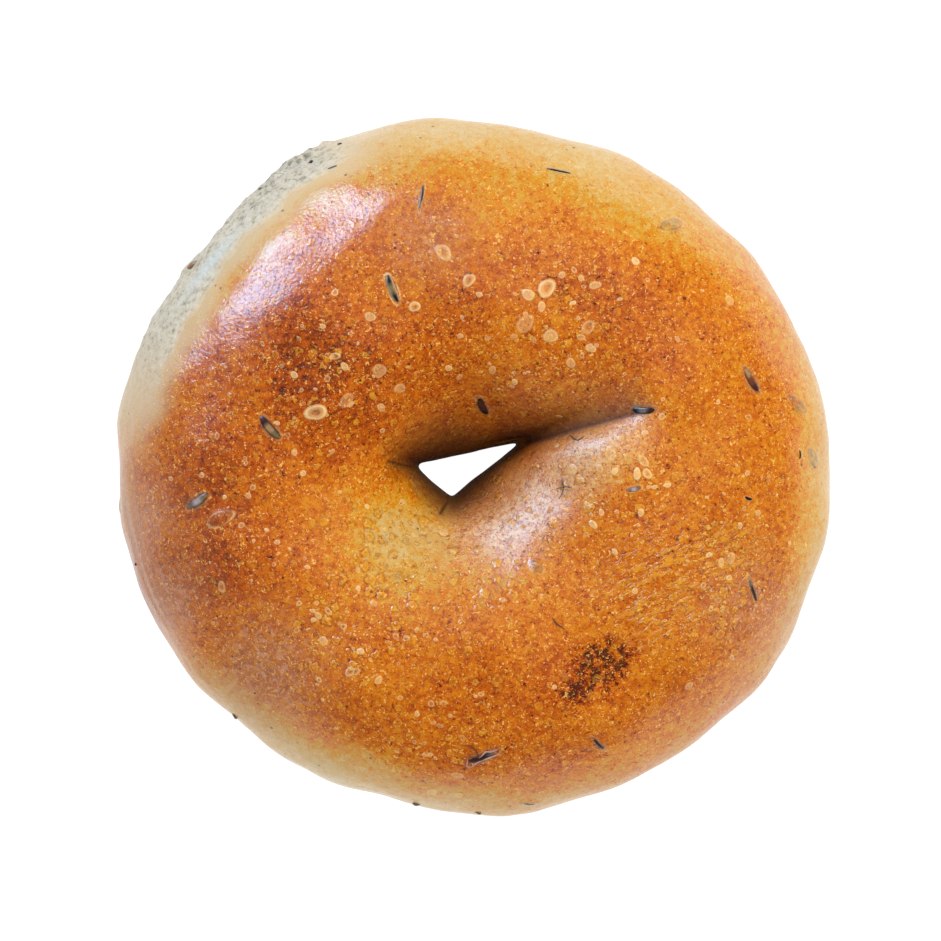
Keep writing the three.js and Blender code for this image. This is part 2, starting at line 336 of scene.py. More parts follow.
# The scorched spot and its tail: x, y, radius, share; and the sums at which it starts and is in full
SCORCH_LIMITS = (0.2, 1.25)
SCORCHES = ((20.2, -32.4, 4.2, 1), (18.2, -29.4, 2.9, 1), (22.8, -29.0, 2.4, 1), (16.2, -35.8, 2.8, 1))
# Duller, mauve-brown zones, partly duller crust and partly a painted reflection of a dim lamp: x, y, radius,
# share
DULL_AND_REFLECTION_PATCHES = (
    (-33, -32, 8, 1.0), (-51, -8, 6, 0.5), (-48, -20, 6, 0.8), (44, -22, 8, 0.6), (-7, 36, 7, 0.5),
    (17, 9.5, 5, 0.15), (8, 12, 5, 0.15),
)
# A pale film on the crest beside the long crease, partly paler crust and partly a painted sheen: x, y,
# radius, share
FILM_AND_SHEEN_PATCHES = (
    (-3, -11.5, 4.5, 0.45), (4, -10, 5, 0.8), (10, -4.5, 5, 0.8), (17, 1.5, 5, 0.8), (24, 5.5, 4, 0.6),
)
# Where bubbles crowd: x, y, radius, share; elsewhere they are BUBBLES_ELSEWHERE
BUBBLY_PATCHES = (
    (12, 21, 10, 0.8), (-20, 10, 13, 0.6), (-21, -26, 10, 0.7), (-10, -12, 12, 0.9), (10, -6, 10, 0.9),
    (38, -14, 9, 0.6), (-2, -44, 12, 0.7), (40, -30, 9, 0.4), (26, 0, 7, 0.5),
)
BUBBLES_ELSEWHERE, BUBBLES_LOST_ON_RIM = 0.35, 0.8

# Painted shade on the walls of the hole: how far up it reaches in plan, how much further it reaches on one
# side, and that side's direction
HOLE_SHADE_REACH, HOLE_SHADE_EXTRA, HOLE_SHADE_SIDE = 5.2, 6.2, 100
# Painted shade on the flank of each crease: width to the left and right, how it falls off, narrows and ends;
# and its thin dark line of painted shade along the crease
CREASE_SHADES = ((4.8, 0.5), (1.8, 1.3), (1.4, 1.3))
CREASE_SHADE_BLUNTNESS, CREASE_SHADE_TAPER, CREASE_SHADE_END = 1.3, 0.3, 0.8
CREASE_SHADE_LINE, SHADE_LINE_TAPER = 0.5, 1.7
# The tan band round the torn crumb: directions, width, fade
TAN_BAND = (100, 168, 4.5, 14)
# The torn crumb: directions and fade; width by direction; its foot's middle, spread and rise; soft edges
TORN_SIDES = (108, 174, 22)
TORN_WIDTHS = ((108, 3.6), (125, 4.6), (140, 4.4), (155, 6.0), (170, 5.2), (177, 3.5))
TORN_FOOT = (140, 36, 11)
TORN_EDGE, TORN_FOOT_EDGE = 0.7, 1.5
# Where the roughest crumb ends; the painted highlight on the pale ridge: its place and width in plan, and its
# heights
ROUGH_REACH, RIDGE_HIGHLIGHT_PLACE, RIDGE_HIGHLIGHT_HEIGHTS = (0.9, 5.4), (3.0, 0.8), (18, 21)
# The pale band past the torn side: middle direction, spread, width, share
DOUGH_SIDE = (172, 18, 5, 0.5)
# Thin folds along the rim: middle direction and spread, how far in they reach, their spacing and heights
RIM_FOLDS, RIM_FOLD_HEIGHTS = (197, 17, 4.5, 1.15), (14, 19)
# The film and its painted sheen lie right of the long crease: where they are in full and where they end,
# positive to the left
FILM_AND_SHEEN_SIDE = (-0.9, -0.3)
# How uneven the edges of the zones are: spread (for the rim, by its width), size of the bumps, seed
RIM_BUMPS, BASE_BUMPS, SCORCH_EDGE_BUMPS = (0.06, 11, 5), (1.2, 10, 16), (0.13, 1.9, 8)
TORN_BUMPS, TORN_FOOT_BUMPS = (0.35, 3.2, 6), (0.9, 5, 15)
DOUGH_BUMPS, FOLD_BUMPS = (3, 12, 7), (0.25, 9, 9)
# Fine folds in the crust: x, y, radius, share
WRINKLES = ((34, -17, 8.5, 1), (28, -21, 7, 1), (41, -13, 5, 1))


def depth_of_shade(points, over):
    """How much painted shade lies on each point down in the hole or in a crease, 0 to 1."""
    x, y = points[..., 0], points[..., 1]
    away = points[..., :2] - HOLE_CENTRE
    angle = np.arctan2(away[..., 1], away[..., 0])
    gap = np.hypot(away[..., 0], away[..., 1]) - hole_radius(angle)
    reach = HOLE_SHADE_REACH + HOLE_SHADE_EXTRA * np.maximum(0, np.cos(angle - math.radians(HOLE_SHADE_SIDE)))
    painted_shade = np.where(np.cos(over) < 0, 1 - smooth(gap, 0, reach), 0)
    for (route, *_), (left, right) in zip(CREASES, CREASE_SHADES):
        along, distance, side = beside_route(route, x, y)
        fade = (1 - smooth(along, CREASE_SHADE_END, 1.0)) * (np.sin(over) > 0)
        width = np.where(side > 0, left, right) * (1 - CREASE_SHADE_TAPER * along)
        flank = (1.0 - CREASE_SHADE_TAPER * along) * np.exp(-(distance / width) ** CREASE_SHADE_BLUNTNESS)
        shade_line = bell(distance, 0, CREASE_SHADE_LINE * (SHADE_LINE_TAPER - along))
        painted_shade = np.maximum(painted_shade, fade * np.maximum(flank, shade_line))
    return painted_shade


def surface_attributes(points, ring, over):
    """What the crust's material reads at each point."""
    x, y = points[..., 0], points[..., 1]
    gap = outline_gap(points)
    degrees = np.degrees(np.arctan2(y, x)) % 360
    outside, upper = np.cos(over) > 0, np.sin(over) > 0
    browning, pale = browning_of(points, gap, degrees, outside)
    scorch = patches(SCORCHES, x, y) + bumps(points, *SCORCH_EDGE_BUMPS)
    _, distance, side = beside_route(CREASES[0][0], x, y)
    below = 1 - smooth(np.where(side > 0, distance, -distance), *FILM_AND_SHEEN_SIDE)
    bubbly = np.clip(BUBBLES_ELSEWHERE + patches(BUBBLY_PATCHES, x, y), 0, 1)

    def on_top(table):
        return np.clip(patches(table, x, y), 0, 1) * upper

    return {
        "browning": browning, "scorch": smooth(scorch, *SCORCH_LIMITS) * upper,
        "bubbly": bubbly * (1 - BUBBLES_LOST_ON_RIM * pale), "dull_and_reflection": on_top(DULL_AND_REFLECTION_PATCHES),
        "film_and_sheen": on_top(FILM_AND_SHEEN_PATCHES) * below, "folds": on_top(WRINKLES), "painted_shade": depth_of_shade(points, over),
        "rim_folds": rim_folds_of(points, gap, degrees), **torn_zones(points, gap, degrees, outside),
    }


def browning_of(points, gap, degrees, outside):
    """How browned the crust is, and how much of the pale rim is at each point."""
    turn, *profile = np.array(RIM, float).T
    width, edge = [np.interp(degrees, turn, column) for column in profile]
    browning = CRUST_BROWNING + patches(BROWNING_PATCHES, points[..., 0], points[..., 1])
    pale = np.where(outside, 1 - smooth(gap + width * bumps(points, *RIM_BUMPS), 0, width), 0)
    browning = browning * (1 - pale) + edge * pale
    low = 1 - smooth(points[..., 2] + bumps(points, *BASE_BUMPS), *BASE_BROWN_HEIGHTS)
    return browning * (1 - low) + BASE_BROWNING * low, pale


def torn_zones(points, gap, degrees, outside):
    """The torn crumb, its roughest part, the painted highlight on its pale ridge, and the pale bands round
    it.
    """
    z = points[..., 2]
    torn_from, torn_to, torn_fade = TORN_SIDES
    torn = smooth(degrees, torn_from, torn_from + torn_fade / 2)
    torn = torn * (1 - smooth(degrees, torn_to - torn_fade, torn_to)) * outside
    width = np.interp(degrees, *np.array(TORN_WIDTHS, float).T) + bumps(points, *TORN_BUMPS)
    middle, spread, rise = TORN_FOOT
    foot = TEAR_LOW + rise * ((degrees - middle) / spread) ** 2 + bumps(points, *TORN_FOOT_BUMPS)
    torn = torn * (1 - smooth(gap, width - TORN_EDGE, width + TORN_EDGE))
    torn = torn * smooth(z - foot, 0, TORN_FOOT_EDGE)
    tan_from, tan_to, tan_width, tan_fade = TAN_BAND
    tan = smooth(degrees, tan_from, tan_from + tan_fade) * (1 - smooth(degrees, tan_to, tan_to + tan_fade))
    tan = tan * (1 - smooth(gap - width, 0.5, tan_width)) * outside
    middle, spread, dough_width, share = DOUGH_SIDE
    dough = share * bell(degrees + bumps(points, *DOUGH_BUMPS), middle, spread)
    dough = dough * outside * (1 - smooth(gap, 1, dough_width))
    return {
        "torn": torn, "rough": torn * bell(degrees, *ROUGH_CRUMB) * (1 - smooth(gap, *ROUGH_REACH)),
        # the ridge mark is a painted highlight
        "ridge": torn * bell(degrees, *CRUMB_RIDGE_HIGHLIGHT) * bell(gap, *RIDGE_HIGHLIGHT_PLACE) * smooth(z, *RIDGE_HIGHLIGHT_HEIGHTS),
        "dough": np.maximum(dough, tan),
    }


def rim_folds_of(points, gap, degrees):
    """The thin folds that run along the rim; their grooves are darkened with painted shade."""
    middle, spread, reach, spacing = RIM_FOLDS
    folds = bell(degrees, middle, spread) * (1 - smooth(gap, 1, reach))
    folds = folds * smooth(points[..., 2], *RIM_FOLD_HEIGHTS)
    return folds * (0.5 + 0.5 * np.cos(2 * math.pi * (gap + bumps(points, *FOLD_BUMPS)) / spacing))


def top_place(x, y):
    """The direction and section angle of the crust above places in plan."""
    x, y = np.asarray(x, float), np.asarray(y, float)
    ring = np.arctan2(y - HOLE_CENTRE[1], x - HOLE_CENTRE[0])
    over = np.full(x.shape, math.pi / 2)
    step = SMALL_TURN
    for _ in range(PLACE_ROUNDS):
        here = crust_points(ring, over)
        by_ring = (crust_points(ring + step, over) - here) / step
        by_over = (crust_points(ring, over + step) - here) / step
        determinant = by_ring[..., 0] * by_over[..., 1] - by_over[..., 0] * by_ring[..., 1]
        dx, dy = x - here[..., 0], y - here[..., 1]
        along = (dx * by_over[..., 1] - dy * by_over[..., 0]) / determinant
        turn = (dy * by_ring[..., 0] - dx * by_ring[..., 1]) / determinant
        ring = ring + np.clip(along, -LARGEST_TURN, LARGEST_TURN)
        over = over + np.clip(turn, -LARGEST_TURN, LARGEST_TURN)
        over = np.clip(over, LEAST_OVER, math.pi - LEAST_OVER)
    return ring, over


def frame_at(ring, over, heading):
    """Each place's point, its way out, and the ways ahead and to the left along a heading in plan."""
    point = crust_points(ring, over)
    normal = normals_of(crust_points, ring, over, WIDE_TURN)
    ahead = np.stack([np.cos(heading), np.sin(heading), np.zeros_like(heading)], -1)
    climb = (ahead * normal).sum(-1)
    upright = np.maximum(normal[..., 2], LEAST_UPRIGHT)
    ahead[..., 2] -= np.where(normal[..., 2] > LEAST_UPRIGHT, climb / upright, 0)
    ahead = ahead - normal * (ahead * normal).sum(-1, keepdims=True)
    ahead /= np.linalg.norm(ahead, axis=-1, keepdims=True)
    return point, normal, ahead, np.cross(normal, ahead)


def patches_on_crust(name, material, ring, over, heading, length, width, dome, colours,
                     rings, sides, unevenness):
    """Rounded patches that follow the crust.

    dome gives the rise and colours the attributes of every patch, both from a share (0 in the middle to 1 at
    the edge) and a turn round it.
    """
    step = SMALL_TURN
    point, normal, ahead, left = frame_at(ring, over, heading)
    by_ring = (crust_points(ring + step, over) - crust_points(ring - step, over)) / (2 * step)
    by_over = (crust_points(ring, over + step) - crust_points(ring, over - step)) / (2 * step)
    share = np.concatenate([[0.0], np.repeat(np.arange(1, rings + 1) / rings, sides)])
    turn = np.concatenate([[0.0], np.tile(turns(sides), rings)])
    start = 9 * heading[:, None]
    uneven = share * (1 + unevenness * (np.sin(2 * turn + start) + 0.7 * np.sin(3 * turn + 2 * start)))
    a = length[:, None] / 2 * uneven * np.cos(turn)
    b = width[:, None] / 2 * uneven * np.sin(turn)
    offset = a[..., None] * ahead[:, None] + b[..., None] * left[:, None]
    rr = (by_ring * by_ring).sum(-1)[:, None]
    oo = (by_over * by_over).sum(-1)[:, None]
    ro = (by_ring * by_over).sum(-1)[:, None]
    on_ring, on_over = (offset * by_ring[:, None]).sum(-1), (offset * by_over[:, None]).sum(-1)
    area = rr * oo - ro * ro
    ring_all = ring[:, None] + (oo * on_ring - ro * on_over) / area
    over_all = over[:, None] + (rr * on_over - ro * on_ring) / area
    points = crust_points(ring_all, over_all)
    attributes = surface_attributes(points, ring_all, over_all)
    points = points + normals_of(plain_points, ring_all, over_all, step) * dome(share, turn)[..., None]
    for label, values in colours(share, turn).items():
        attributes[label] = np.broadcast_to(values, ring_all.shape)
    triangles = [(0, 1 + i, 1 + (i + 1) % sides) for i in range(sides)]
    for a, b, c, d in 1 + tube_quads(rings - 1, sides):
        triangles += [(a, d, c), (a, c, b)]
    faces = (np.array(triangles)[None] + len(share) * np.arange(len(ring))[:, None, None]).reshape(-1, 3)
    return mesh_object(name, points, faces, material, attributes)


# Blisters that stand out: x, y, radius, paleness, and a 1 if the rim is paler than the middle
BLISTERS = (
    (11.4, 28.1, 1.57, 1, 1), (8.5, 27.1, 1.2, 0.8), (-9.3, 25.2, 0.96, 0.9, 1),
    (-4.8, 33.7, 1.44, 0.7, 1), (-0.8, 29.4, 1.12, 0.8, 1), (10.6, 25.2, 0.8, 0.7),
    (15.5, 25.8, 0.48, 1), (19, 28.6, 0.88, 0.6), (25.4, 32.4, 0.72, 1),
    (13.8, 30.2, 0.64, 0.6), (8, 22.5, 1.6, 0.35), (12, 20.6, 1.28, 0.6), (17.9, 22, 1.2, 0.5, 1),
    (16.8, 20.4, 0.64, 0.7, 1), (18.1, 18.8, 0.72, 0.7), (15.2, 16.4, 0.88, 0.55),
    (2.9, 15.3, 0.8, 0.5), (-4, 15.6, 0.64, 0.8), (-11.7, 12.4, 1.04, 0.45),
    (-14.6, 9.4, 0.8, 0.6), (-14.7, 15, 1.12, 0.45), (40.3, 26.3, 0.96, 0.4),
    (15.4, -0.4, 1.04, 0.6), (19.7, -0.2, 0.72, 0.7, 1), (22.1, -0.6, 0.64, 1),
    (21.4, 2.2, 1.2, 0.6, 1), (18.7, -9, 0.72, 0.9), (20, -7.1, 0.56, 0.8), (17.9, -6, 0.64, 0.6),
    (-4.8, -10.3, 0.88, 0.7), (-11.4, -5.5, 0.64, 0.6), (-28.2, 2.3, 0.56, 0.7),
    (-39.2, -4.7, 0.4, 1), (-39.7, -18.8, 0.88, 0.6, 1), (-22.9, -22.6, 0.64, 0.7, 1),
    (-24.5, -23.3, 0.64, 0.6), (-20.5, -25, 0.56, 0.7, 1), (-23.7, -27.3, 0.8, 0.5),
    (-17.8, -28.9, 0.64, 0.8), (-19.5, -32.1, 0.88, 0.7, 1), (-18.6, -32.1, 0.72, 0.6, 1),
    (-18.2, -19, 0.48, 0.9), (-15, -33.4, 0.72, 0.6), (-24.8, 8.6, 1.68, 1, 1),
    (-16.3, 23.6, 0.92, 0.6), (-21.8, 17.4, 0.8, 0.7, 1), (-20.3, 15.8, 0.72, 0.7),
    (-21.8, 27.4, 0.64, 0.9, 1), (-28.2, 14.5, 0.64, 0.8), (-14.9, 15.3, 1.12, 0.4),
    (-20, 10.5, 1.28, 0.3), (26.6, 1, 0.96, 0.8, 1), (25.6, -1, 0.88, 1), (27.2, -1, 0.88, 1, 1),
    (30.4, -2.8, 0.56, 0.9), (28.3, -3.1, 0.48, 0.8), (26.2, -7.1, 0.64, 0.8),
    (41.9, -9.2, 0.56, 0.7), (37, -13.8, 0.56, 0.9), (38.9, -15, 0.72, 0.6),
    (40.5, -14.3, 0.96, 0.45), (40.2, -17.4, 0.52, 0.9, 1), (37.3, -22.3, 0.48, 0.9, 1),
    (33.9, -34.5, 0.8, 0.5), (-2.6, -48.6, 0.96, 0.4), (-6.7, -51.4, 1.12, 0.45),
    (-2.4, -51.9, 0.88, 0.45),
)
# Where smaller ones crowd: x, y, spread, how many
BLISTER_CROWDS = (
    (12, 21, 7, 45), (-18, 14, 9, 45), (-21, -26, 7, 40), (40, -14, 8, 36), (22, -1, 5, 20),
    (-4, -45, 8, 30), (-38, -5, 9, 30), (0, 0, 34, 160),
)
SMALL_BLISTER, LARGE_BLISTER, BLISTER_SKEW = 0.22, 0.62, 2.2
CROWD_PALENESS, CROWD_RIMMED = (0.25, 0.85), 0.4
CROWD_DRAW, BLISTER_DRAW = 21, 22
# How far blisters keep from the outline and the hole, their rise, and how deep their edges lie
OUTLINE_CLEARANCE, HOLE_CLEARANCE = 1.5, 3.5
BLISTER_RISE, BLISTER_GROWTH, BLISTER_SINK = 0.08, 0.14, 0.03


def draw_blisters():
    """The listed blisters and the crowds, as columns of x, y, radius, paleness and rim."""
    draw = np.random.default_rng(CROWD_DRAW)
    rows = [(*row, 0)[:5] for row in BLISTERS]
    for x, y, spread, count in BLISTER_CROWDS:
        for _ in range(count):
            radius = SMALL_BLISTER + (LARGE_BLISTER - SMALL_BLISTER) * draw.random() ** BLISTER_SKEW
            rows.append([x + spread * draw.normal(), y + spread * draw.normal(), radius,
                         draw.uniform(*CROWD_PALENESS), int(draw.random() < CROWD_RIMMED)])
    rows = np.array(rows, float)
    clear = outline_gap(rows[:, :2]) > OUTLINE_CLEARANCE
    from_hole = rows[:, :2] - HOLE_CENTRE
    hole = hole_radius(np.arctan2(from_hole[:, 1], from_hole[:, 0]))
    clear &= np.hypot(*from_hole.T) > hole + HOLE_CLEARANCE
    return rows[clear].T


def make_blisters(material):
    """Every blister as a low dome, or as a dimple with a raised rim."""
    x, y, radius, paleness, rim = draw_blisters()
    draw = np.random.default_rng(BLISTER_DRAW)
    ring, over = top_place(x, y)
    stretch = draw.uniform(1.0, 1.25, len(x))
    heading = draw.uniform(0, math.pi, len(x))
    height = BLISTER_RISE + BLISTER_GROWTH * radius * paleness

    def dome(share, turn):
        swell = np.where(rim[:, None] > 0, 0.5 + 0.8 * share ** 2, 1.0)
        return height[:, None] * swell * (1 - share ** 3) ** 0.8 - BLISTER_SINK

    def colours(share, turn):
        patchy = 0.8 + 0.2 * np.sin(2 * turn + 5 * heading[:, None])
        edge = patchy * bell(share, 0.80, 0.13)
        middle = np.where(rim[:, None] > 0, 0.4 - 0.25 * (share < 0.3), 0.6) * (share < 0.8)
        pale = paleness[:, None] * (middle + 0.8 * edge)
        # The blister's outer edge gets a dark line of painted shade
        return {"blister": pale * (share < 0.97), "shade_line": 0.9 * (share > 0.97)}

    return patches_on_crust("blisters", material, ring, over, heading, 2 * radius * stretch,
                            2 * radius / stretch, dome, colours, rings=7, sides=20, unevenness=0.07)


BLACK, DARK, PLUM = (0.010, 0.007, 0.008), (0.040, 0.015, 0.008), (0.045, 0.012, 0.018)
GREY, OLIVE, CREAM = (0.17, 0.14, 0.12), (0.20, 0.15, 0.07), (0.60, 0.42, 0.24)
TAN, RUST, LILAC = (0.36, 0.22, 0.10), (0.16, 0.040, 0.012), (0.42, 0.36, 0.38)
PINK, UMBER = (0.52, 0.30, 0.24), (0.13, 0.055, 0.025)
# Caraway seeds on top: x, y, heading, length, how far each stands out, its width's share, the stain round it
# and the colours of its start, middle, end and sides
SEEDS = (
    (-12.8, 28.0, -69, 4.7, 0.5, 1.12, 0.0, BLACK, OLIVE, BLACK, CREAM),
    (-32, 6.2, -48, 4.7, 0.50, 1.15, 0.5, PLUM, TAN, OLIVE, DARK),
    (-43.5, -5.3, 33, 4.5, 0.38, 1.15, 0.55, GREY, LILAC, OLIVE, DARK),
    (-39.9, -8.1, 25, 4.2, -0.3, 1.3, 0.15, TAN, OLIVE, TAN, TAN),
    (-8.3, 42.5, 80, 4.6, 0.22, 0.5, 0.25, OLIVE, DARK, DARK, LILAC),
    (13.4, 46.8, -11, 4.7, 0.24, 0.42, 0.3, BLACK, BLACK, DARK, DARK),
    (-22.4, 47.4, 20, 2.4, 0.22, 0.7, 0.1, PLUM, BLACK, DARK, DARK),
    (1.4, 9.7, -64, 4.4, 0.45, 1.15, 0.6, DARK, PLUM, BLACK, PLUM),
    (26.6, 9, -3, 3.9, 0.50, 1.0, 0.5, BLACK, GREY, DARK, BLACK),
    (43.7, 13.7, -60, 4.6, 0.42, 1.1, 0.6, TAN, RUST, PLUM, RUST),
    (51.2, 10, -42, 4.4, 0.12, 1.1, 0.6, OLIVE, OLIVE, BLACK, GREY),
    (53.8, 1.4, -57, 4.2, 0.06, 1.4, 0.65, OLIVE, GREY, OLIVE, OLIVE),
    (31.2, 38.3, 20, 4.8, -0.2, 1.4, 0.5, OLIVE, GREY, OLIVE, GREY),
    (14.2, -3.3, -70, 2.8, 0.1, 0.5, 0.35, UMBER, DARK, UMBER, UMBER),
    (16.2, 4.4, -14, 3.2, 0.15, 0.5, 0.2, UMBER, RUST, DARK, UMBER),
    (44, -19.3, -72, 4.5, 0.28, 0.6, 0.4, GREY, DARK, DARK, GREY),
    (19.7, -43.6, -45, 3.9, 0.28, 0.55, 0.45, DARK, BLACK, BLACK, GREY),
    (1.4, -45.5, 22, 5.6, 0.32, 1.0, 0.55, PLUM, DARK, GREY, PLUM),
    (9.9, -15.6, -50, 2.6, -0.15, 1.2, 0.45, GREY, LILAC, GREY, GREY),
    (8.8, -53.4, -5, 4.0, 0.2, 0.6, 0.3, RUST, DARK, RUST, RUST),
    (25.1, -3.4, 15, 2.3, 0.25, 1.0, 0.3, GREY, LILAC, GREY, GREY),
    (43.2, -4.9, -20, 1.4, 0.25, 1.0, 0.2, BLACK, BLACK, BLACK, BLACK),
    (51.5, 2, 90, 1.5, 0.25, 0.8, 0.1, BLACK, BLACK, BLACK, BLACK),
)
SIDE_SEED_COLOURS = (DARK, OLIVE, GREY, TAN)
SEED_WIDTH, SEED_HEIGHT, SEED_BEND, SEED_RIDGES = 1.35, 1.15, 0.2, 5
# Seeds shorter than this are thinner as well
FULL_SEED_LENGTH = 3.5
SEED_SIDES, SEED_RINGS = 20, 18
# The seeds of the sides: how many, their section angles, how they lie in the crust, the rule of their draw
SIDE_SEEDS, SIDE_SEED_LOW, SIDE_SEED_SPAN = 12, -0.5, 0.4
SIDE_SEED_LIE = (0.4, 1.1, 0.25)
DRAW_SEED, DRAW_FACTOR, DRAW_LIMIT = 7, 16807, 2147483647
# The crust round a seed: its margin, its rise over a buried seed and round others, how deep its edge lies
BED_MARGIN, BURIED_RISE, BED_RISE, BURIED_BELOW, BED_SINK = 1.9, 0.34, 0.14, 0.05, 0.015


def side_seeds():
    """The seeds of the lower sides, drawn as in the solid."""
    state = DRAW_SEED

    def draw():
        nonlocal state
        state = state * DRAW_FACTOR % DRAW_LIMIT
        return state / DRAW_LIMIT

    rows = []
    for i in range(SIDE_SEEDS):
        ring = (i + 0.2 + 0.6 * draw()) / SIDE_SEEDS * 2 * math.pi - math.pi
        over = SIDE_SEED_LOW + SIDE_SEED_SPAN * draw()
        rows.append((ring, over, draw() * math.pi, 4 + draw(), *SIDE_SEED_LIE))
    return np.array(rows).T


def all_seeds():
    """Every seed: columns of ring, over, heading, length, standing out, width's share, stain; and colours."""
    x, y, heading, *rest = np.array([row[:7] for row in SEEDS], float).T
    ring, over = top_place(x, y)
    columns = [np.append(*pair) for pair in zip((ring, over, np.radians(heading), *rest), side_seeds())]
    colours = [row[7:] for row in SEEDS] + [SIDE_SEED_COLOURS] * SIDE_SEEDS
    return columns, np.array(colours)


def make_seeds(material):
    """Ridged, bent spindles laid into the crust."""
    (ring, over, heading, length, out, spread, _), colours = all_seeds()
    point, normal, ahead, left = frame_at(ring, over, heading)
    along = -np.cos(np.arange(SEED_RINGS + 1) / SEED_RINGS * math.pi)
    along, turn = all_pairs(along, turns(SEED_SIDES))
    ridge = np.cos(SEED_RIDGES * turn + math.pi) * 0.5 + 0.5
    girth = np.maximum(1 - np.abs(along) ** 2.6, 0) ** 0.6 * (0.88 + 0.18 * ridge ** 2)
    short = np.minimum(1, length / FULL_SEED_LENGTH)[:, None]
    a = length[:, None] / 2 * along
    wide = SEED_WIDTH / 2 * short * spread[:, None]
    b = wide * girth * np.sin(turn) + SEED_BEND * short * (along ** 2 - 0.5)
    c = SEED_HEIGHT / 2 * short * (girth * np.cos(turn) - 1) + out[:, None]
    points = point[:, None] + a[..., None] * ahead[:, None] + b[..., None] * left[:, None]
    points = points + c[..., None] * normal[:, None]
    start, middle, end, sides = [colours[:, None, k] for k in range(4)]
    to_middle, to_end = [smooth(along, *ends)[None, :, None] for ends in ((-0.45, -0.2), (0.2, 0.45))]
    tint = (start * (1 - to_middle) + middle * to_middle) * (1 - to_end) + end * to_end
    to_sides = np.maximum(smooth(np.abs(np.sin(turn)), 0.5, 0.68), 0.45 * ridge ** 4)[None, :, None]
    tint = tint * (1 - to_sides) + sides * to_sides
    tint = np.concatenate([tint, np.ones(tint.shape[:2] + (1,))], -1)
    quads = tube_quads(SEED_RINGS, SEED_SIDES)
    faces = (quads[None] + len(turn) * np.arange(len(ring))[:, None, None]).reshape(-1, 4)
    return mesh_object("seeds", points, faces, material, {"tint": tint})


def make_seed_beds(material):
    """The crust round each seed: a low swelling, paler or stained where the seed lies under it."""
    (ring, over, heading, length, out, spread, stain), _ = all_seeds()
    height = np.where(out < BURIED_BELOW, BURIED_RISE, BED_RISE)
    small = np.minimum(1, length / FULL_SEED_LENGTH)
    bed_length, bed_width = length + BED_MARGIN * small, (SEED_WIDTH * spread + BED_MARGIN) * small
    long_share, wide_share = length / bed_length, SEED_WIDTH * spread * small / bed_width

    def dome(share, turn):
        return height[:, None] * (1 - share ** 2) ** 1.5 - BED_SINK

    def colours(share, turn):
        patchy = 0.6 + 0.4 * np.sin(3 * turn + heading[:, None])
        stained = stain[:, None] * (1 - smooth(share, 0.35, 0.95)) * patchy
        beyond = share * np.hypot(np.cos(turn) / long_share[:, None], np.sin(turn) / wide_share[:, None])
        ragged = 0.65 + 0.35 * np.sin(3 * turn + 7 * heading[:, None])
        pale = 0.9 * (1 - stain[:, None]) ** 1.5 * ragged * bell(beyond, 1.17, 0.12)
        # The seed's edge gets a dark line of painted shade
        return {"stain": stained, "blister": pale, "shade_line": 0.7 * bell(beyond, 1.0, 0.1)}

    return patches_on_crust("seed_beds", material, ring, over, heading, bed_length, bed_width,
                            dome, colours, rings=10, sides=28, unevenness=0.03)


# Crumbs and scraps stuck to the crust: direction, section angle, length, width, colour
CRUMBS = (
    (144.4, 0.25, 1.9, 1.1, (0.30, 0.15, 0.05)), (226.2, 0.22, 1.2, 0.6, GREY), (260.3, 0.2, 1.3, 0.7, GREY),
    (270.8, 0.2, 0.9, 0.5, GREY), (118, 0.3, 0.9, 0.5, DARK), (112.5, 0.25, 0.8, 0.5, PLUM),
    (127.5, 0.2, 0.9, 0.5, OLIVE), (196, 0.3, 0.5, 0.4, DARK),
)
CRUMB_LUMPS, CRUMB_ROWS, CRUMB_SIDES = 0.22, 7, 10
# The crumbs' first seed, and how far they turn from the way out
CRUMB_NOISE, CRUMB_TURN = 40, 1.2
# Threads left by broken seeds: their height, how far and fast they wave, points a corner and sides
THREAD_HEIGHT, THREAD_WAVE, THREAD_WAVES, THREAD_POINTS, THREAD_SIDES = 0.18, 0.12, 4, 6, 8
# The threads: width, colour and route in plan
THREADS = (
    (0.30, PINK, ((-1.0, -47.4), (0.7, -46.3), (2.6, -45.5), (4.3, -45.1))),
    (0.26, PINK, ((0.7, -45.7), (1.8, -44.8), (2.8, -44.6), (3.7, -44.4))),
    (0.26, PINK, ((-1.0, -45.9), (-1.2, -47.0), (-0.6, -47.4))),
    (0.24, RUST, ((-1.9, -43.6), (-0.6, -43.8), (0.3, -44.4), (0.7, -45.5), (-0.6, -45.5), (-1.0, -44.8))),
    (0.20, UMBER, ((13.9, -1.6), (14.2, -3.2), (13.6, -5.0))),
    (0.18, UMBER, ((13.0, -3.4), (14.6, -3.0), (15.5, -3.2))),
    (0.22, UMBER, ((12.2, -23.6), (13.0, -24.6), (14.2, -25.4))),
    (0.22, UMBER, ((15.0, 5.0), (16.2, 4.2), (17.4, 4.6))),
)


def lump(length, width, seed):
    """The points and triangles of one uneven lump about the origin."""
    up = np.linspace(0, math.pi, CRUMB_ROWS + 1)
    up, turn = all_pairs(up, turns(CRUMB_SIDES))
    ball = np.stack([np.cos(up), np.sin(up) * np.cos(turn), np.sin(up) * np.sin(turn)], -1)
    ball = ball * (1 + bumps(ball * 2, CRUMB_LUMPS, 1.6, seed))[:, None]
    return ball * np.array([length / 2, width / 2, width / 2]), tube_quads(CRUMB_ROWS, CRUMB_SIDES)


def tube(middle, normal, width):
    """The points and quads of a thin tapered thread along a line of points."""
    steps = np.arange(len(middle)) / (len(middle) - 1)
    ahead = np.gradient(middle, axis=0)
    ahead /= np.linalg.norm(ahead, axis=1, keepdims=True)
    left = np.cross(normal, ahead)
    thick = width / 2 * np.sqrt(np.clip(np.sin(math.pi * (0.04 + 0.92 * steps)), 0, 1))[:, None, None]
    turn = turns(THREAD_SIDES)[None, :, None]
    points = middle[:, None] + thick * (np.cos(turn) * left[:, None] + np.sin(turn) * normal[:, None])
    return points.reshape(-1, 3), tube_quads(len(middle) - 1, THREAD_SIDES)


